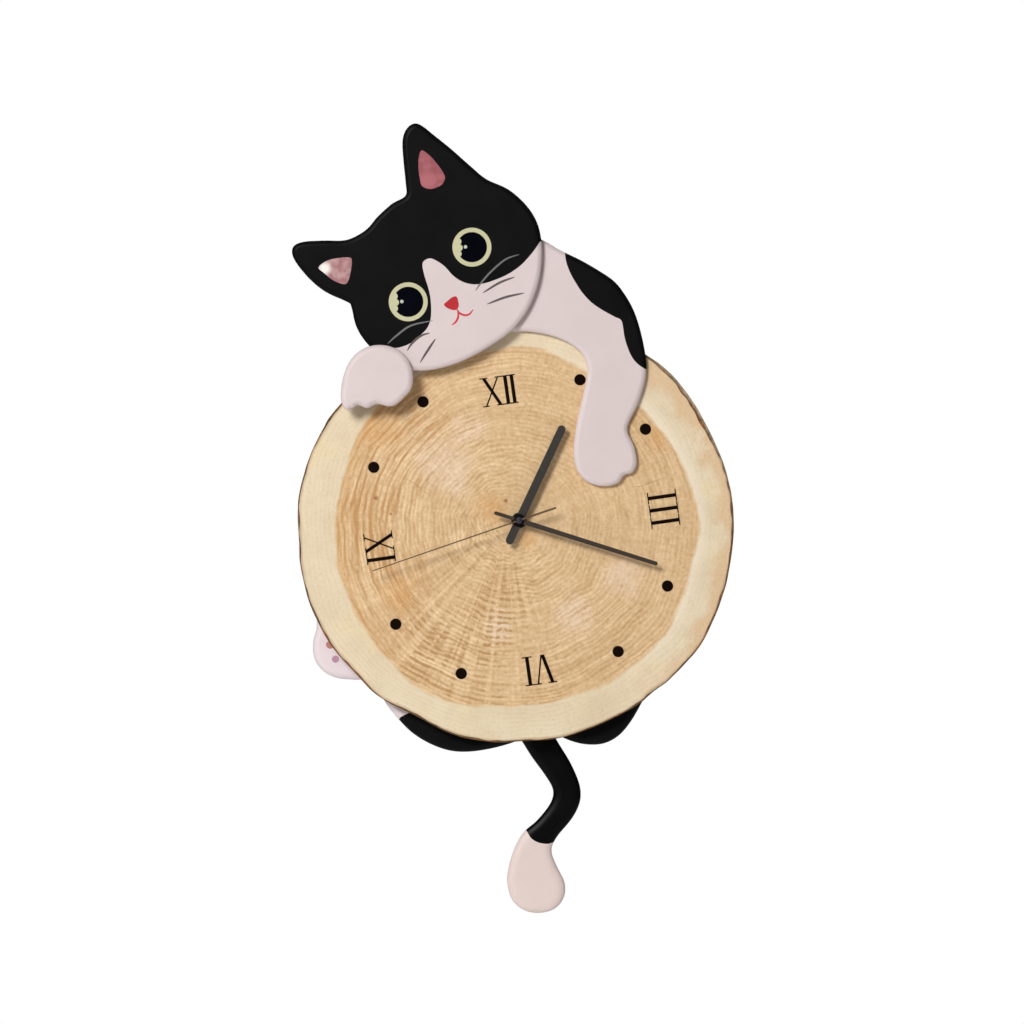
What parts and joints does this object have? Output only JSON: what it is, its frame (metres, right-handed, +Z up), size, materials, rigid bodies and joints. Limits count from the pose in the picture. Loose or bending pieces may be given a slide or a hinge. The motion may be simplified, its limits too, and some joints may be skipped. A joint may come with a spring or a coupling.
{
  "type": "cat wall clock with pendulum tail",
  "caption": "Quartz wall clock: a wood-slice dial with Roman marks, a painted cat climbing over it, and the cat's tail as a swinging pendulum.",
  "frame": {"origin": "centre of the hanger plate's round hole, on the plate's back face", "axes": "+Z up, +X to the right as seen from the room, -Y out of the wall towards the room"},
  "size_m": [0.3049, 0.051, 0.5456],
  "materials": {
    "tree_wood": "sanded, clear matt lacquer, bark left on the edge",
    "ink_black": "printed, satin",
    "cat_white": "pinkish white satin paint on board",
    "cat_black": "black satin paint on board, with white and pink areas",
    "bare_board": "raw board",
    "black_rubber": "matt",
    "zinc_steel": "zinc plated",
    "case_black": "fine moulded texture",
    "cover_grey": "fine moulded texture",
    "bush_brass": "turned",
    "nut_black": "blackened",
    "white_acetal": "moulded, satin",
    "cell_sleeve": "printed sleeve with bare ends",
    "contact_steel": "nickel plated",
    "board_green": "solder mask",
    "crystal_can": "polished",
    "copper_wire": "enamelled wire winding",
    "magnet_grey": "sintered",
    "stator_steel": "stamped",
    "knob_black": "moulded, fluted",
    "hour_black": "satin black paint",
    "minute_black": "satin black paint",
    "second_black": "black paint"
  },
  "bodies": {
    "clock": {"wood_slice": "tree_wood", "numeral_xii": "ink_black", "numeral_iii": "ink_black", "numeral_vi": "ink_black", "numeral_ix": "ink_black", "hour_dots": "ink_black", "shoulder_and_arm": "cat_white", "head": "cat_black", "left_paw": "cat_white", "paw_spacer": "bare_board", "body_and_hind_foot": "cat_black", "body_screws": "zinc_steel", "wall_bumpers": "black_rubber", "hanger_plate": "zinc_steel", "hanger_rivets": "zinc_steel", "movement_case": "case_black", "back_cover": "cover_grey", "cover_screws": "zinc_steel", "gasket": "black_rubber", "spindle_bush": "bush_brass", "bush_nut": "nut_black", "middle_plate": "white_acetal", "train_bridge": "white_acetal", "bridge_screws": "zinc_steel", "battery": "cell_sleeve", "positive_contact": "contact_steel", "negative_contact": "contact_steel", "circuit_board": "board_green", "quartz_crystal": "crystal_can", "motor_coil": "copper_wire", "stator": "stator_steel", "pendulum_coil": "copper_wire", "pivot_pin": "zinc_steel"},
    "hours": {"hour_wheel": "white_acetal", "hour_hand": "hour_black"},
    "minutes": {"minute_wheel": "white_acetal", "minute_hand": "minute_black"},
    "seconds": {"second_wheel": "white_acetal", "second_hand": "second_black"},
    "motion_work": {"motion_wheel": "white_acetal", "setting_knob": "knob_black"},
    "third": {"third_wheel": "white_acetal"},
    "intermediate": {"intermediate_wheel": "white_acetal"},
    "motor_rotor": {"rotor": "magnet_grey"},
    "pendulum": {"pendulum_lever": "white_acetal", "pendulum_magnet": "magnet_grey", "pendulum_rod": "zinc_steel", "tail_screws": "zinc_steel", "tail": "cat_black"}
  },
  "joints": [
    {"name": "minute_turn", "type": "hinge", "parent": "clock", "child": "minutes", "pos_m": [0, -0.02, -0.035], "axis": [0, 1, 0], "continuous": true},
    {"name": "hour_turn", "type": "hinge", "parent": "clock", "child": "hours", "pos_m": [0, -0.02, -0.035], "axis": [0, 1, 0], "continuous": true},
    {"name": "motion_turn", "type": "hinge", "parent": "clock", "child": "motion_work", "pos_m": [0.01182, -0.02, -0.03292], "axis": [0, 1, 0], "continuous": true},
    {"name": "third_turn", "type": "hinge", "parent": "clock", "child": "third", "pos_m": [0.00254, -0.02, -0.02303], "axis": [0, 1, 0], "continuous": true},
    {"name": "second_turn", "type": "hinge", "parent": "clock", "child": "seconds", "pos_m": [0, -0.02, -0.035], "axis": [0, 1, 0], "continuous": true},
    {"name": "intermediate_turn", "type": "hinge", "parent": "clock", "child": "intermediate", "pos_m": [-0.00758, -0.02, -0.03063], "axis": [0, 1, 0], "continuous": true},
    {"name": "rotor_turn", "type": "hinge", "parent": "clock", "child": "motor_rotor", "pos_m": [-0.01408, -0.02, -0.02948], "axis": [0, 1, 0], "continuous": true},
    {"name": "tail_swing", "type": "hinge", "parent": "clock", "child": "pendulum", "pos_m": [0, -0.007, -0.0665], "axis": [0, 1, 0], "range_deg": [-8, 8]}
  ],
  "couplings": [
    {"joint": "hour_turn", "follows": "minute_turn", "ratio": 0.083333},
    {"joint": "motion_turn", "follows": "minute_turn", "ratio": -0.33333},
    {"joint": "third_turn", "follows": "minute_turn", "ratio": -8},
    {"joint": "second_turn", "follows": "minute_turn", "ratio": 60},
    {"joint": "intermediate_turn", "follows": "minute_turn", "ratio": -360},
    {"joint": "rotor_turn", "follows": "minute_turn", "ratio": 1800}
  ]
}
